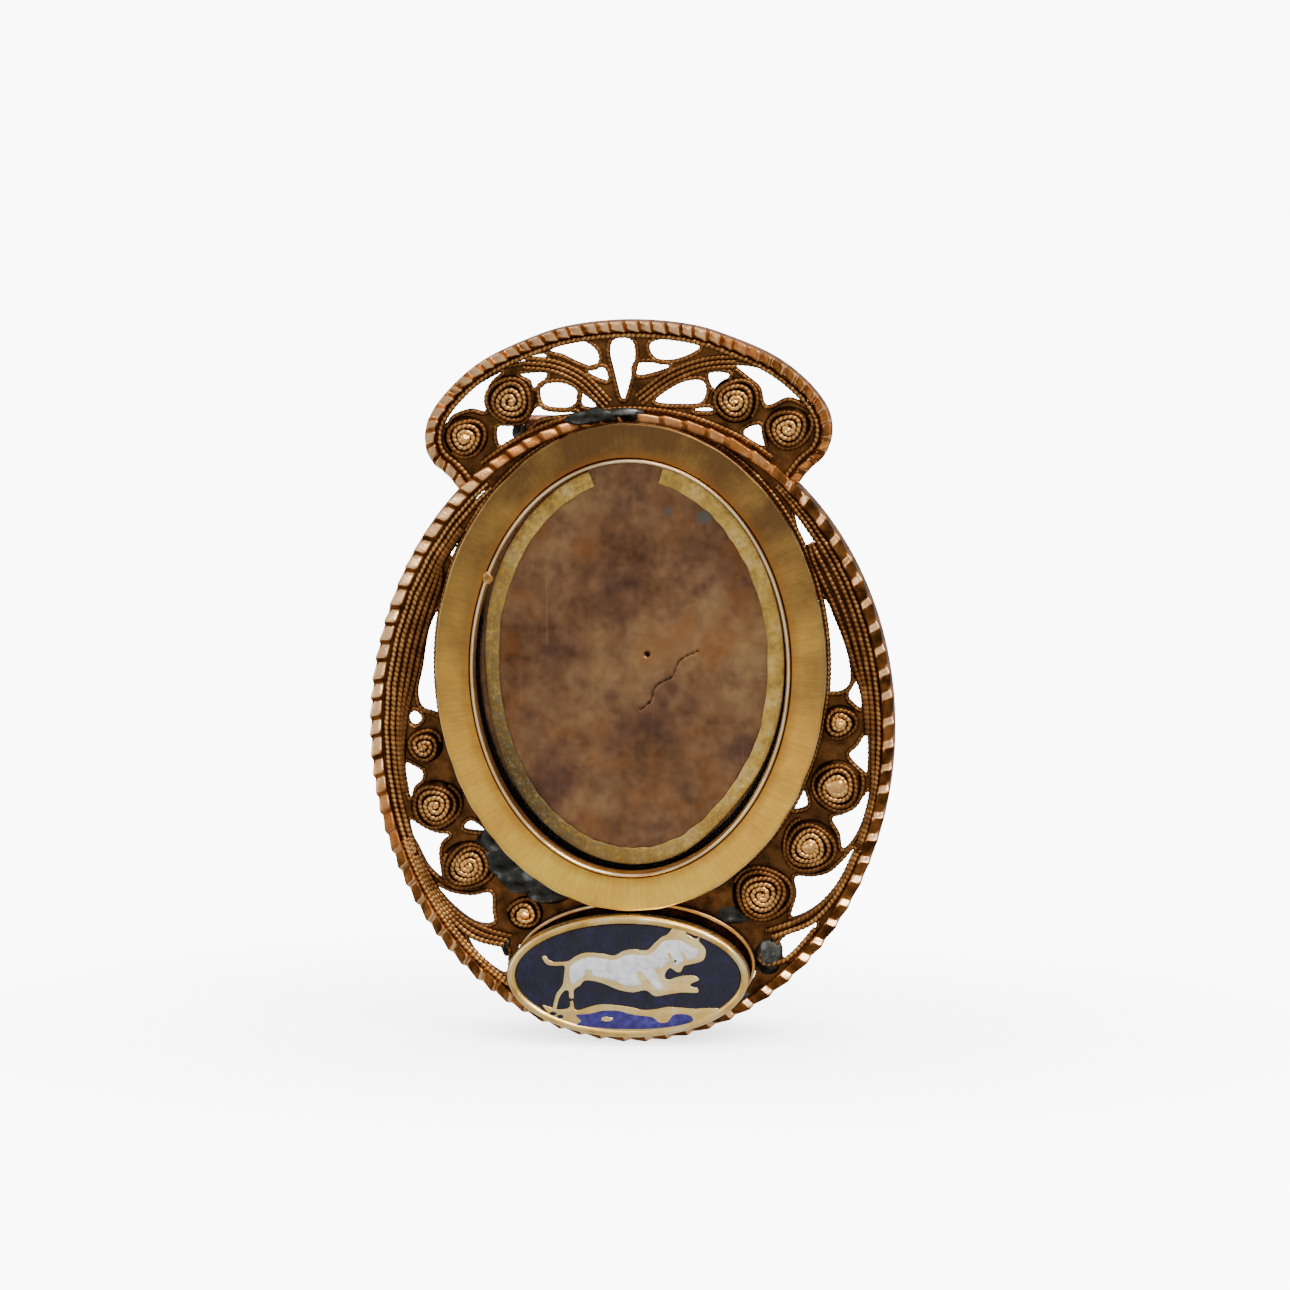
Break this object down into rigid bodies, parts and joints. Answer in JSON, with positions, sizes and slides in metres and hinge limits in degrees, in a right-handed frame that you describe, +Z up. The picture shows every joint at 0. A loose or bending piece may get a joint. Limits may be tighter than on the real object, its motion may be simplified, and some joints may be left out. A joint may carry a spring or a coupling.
{
  "type": "locket",
  "caption": "Oval glazed locket in a crowned filigree frame with wire rosettes, an enamelled dog plaque below, a hinged back lid and a chain tube behind the top.",
  "frame": {"origin": "centre of the back lid's outer face, on the glazed oval's axis", "axes": "+Z up as worn, +X to the right seen from the front, the front faces -Y"},
  "size_m": [0.0264, 0.0044, 0.0365],
  "materials": {
    "worn_gold": "worn rose gold, filed facets, brown patina in the grooves",
    "patinated_gold": "brown patina over gold wire, bright on the beads' tops",
    "scratched_gold": "yellow gold, softly scratched and worn",
    "pale_gold": "pale gold, soft sheen",
    "red_gold": "reddish copper-rich gold, dull",
    "tarnished_copper": "mottled brown copper, matt, spotted",
    "glass": "clear polished glass",
    "enamel_navy": "near-black navy enamel, glossy",
    "enamel_white": "off-white enamel, glossy",
    "enamel_blue": "blue enamel, glossy"
  },
  "bodies": {
    "frame": {"backing_plate": "tarnished_copper", "case_bearer": "scratched_gold", "case_knuckle_bottom": "scratched_gold", "case_knuckle_top": "scratched_gold", "case_seat": "patinated_gold", "case_wall": "scratched_gold", "chain_tube": "red_gold", "collet": "red_gold", "cross_wire_left": "patinated_gold", "cross_wire_right": "patinated_gold", "crown_rim": "worn_gold", "curl_wire_inner": "patinated_gold", "curl_wire_left": "patinated_gold", "curl_wire_outer": "patinated_gold", "dog_cloison": "pale_gold", "edge_wire_left": "patinated_gold", "edge_wire_right": "patinated_gold", "enamel_blue": "enamel_blue", "enamel_dog": "enamel_white", "enamel_navy": "enamel_navy", "ground_cloison": "pale_gold", "hinge_pin": "scratched_gold", "inner_wires_left": "patinated_gold", "inner_wires_right": "patinated_gold", "loop_left": "patinated_gold", "loop_right": "patinated_gold", "mat_ring": "pale_gold", "oval_rim": "worn_gold", "petal_left": "patinated_gold", "petal_right": "patinated_gold", "plaque_bearer": "red_gold", "plaque_tray": "pale_gold", "rim_wires_left": "patinated_gold", "rim_wires_right": "patinated_gold", "rosette_crown_1": "worn_gold", "rosette_crown_2": "worn_gold", "rosette_crown_3": "worn_gold", "rosette_crown_4": "worn_gold", "rosette_left_1": "worn_gold", "rosette_left_2": "worn_gold", "rosette_left_3": "worn_gold", "rosette_left_4": "worn_gold", "rosette_right_1": "worn_gold", "rosette_right_2": "worn_gold", "rosette_right_3": "worn_gold", "rosette_right_4": "worn_gold", "scroll_left": "patinated_gold", "scroll_right": "patinated_gold", "tail_wire_right": "patinated_gold", "teardrop": "patinated_gold", "top_wire": "patinated_gold", "vein_left": "patinated_gold", "vein_right": "patinated_gold"},
    "lid": {"lid_plate": "scratched_gold", "lid_rim": "scratched_gold", "lid_knuckle": "scratched_gold", "thumb_piece": "scratched_gold"},
    "bezel": {"bezel_flange": "scratched_gold", "bezel_ring": "scratched_gold", "glass_pane": "glass"}
  },
  "joints": [
    {"name": "lid_hinge", "type": "hinge", "parent": "frame", "child": "lid", "pos_m": [-0.00917, -0.00046, 0], "axis": [0, 0, 1], "range_deg": [0, 110]},
    {"name": "bezel_lift", "type": "slide", "parent": "frame", "child": "bezel", "axis": [0, -1, 0], "range_m": [0, 0.004]}
  ]
}
